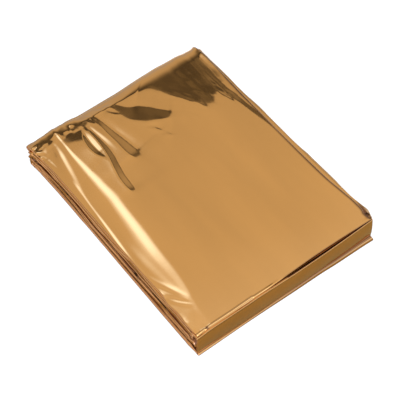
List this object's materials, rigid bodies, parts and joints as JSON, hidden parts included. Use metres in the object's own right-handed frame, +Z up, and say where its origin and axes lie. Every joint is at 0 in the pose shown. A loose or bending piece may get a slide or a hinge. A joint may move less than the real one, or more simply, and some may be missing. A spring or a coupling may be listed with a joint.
{
  "type": "folded emergency foil blanket",
  "caption": "Emergency foil blanket in gold metallised film, folded back and forth into a flat rectangular stack with a rounded spine along one side.",
  "frame": {"origin": "middle of the folded stack's underside, on the surface that it lies on", "axes": "+Z up through the layers; Y along the long side, with the tall rounded spine at -Y and the folds' turned ends at +Y; X along the short side"},
  "size_m": [0.1008, 0.1333, 0.0171],
  "materials": {
    "gold_film": "mirror-bright gold metallised polyester film with sharp fold lines and a few soft creases"
  },
  "bodies": {
    "root": {"blanket": "gold_film"}
  },
  "joints": []
}
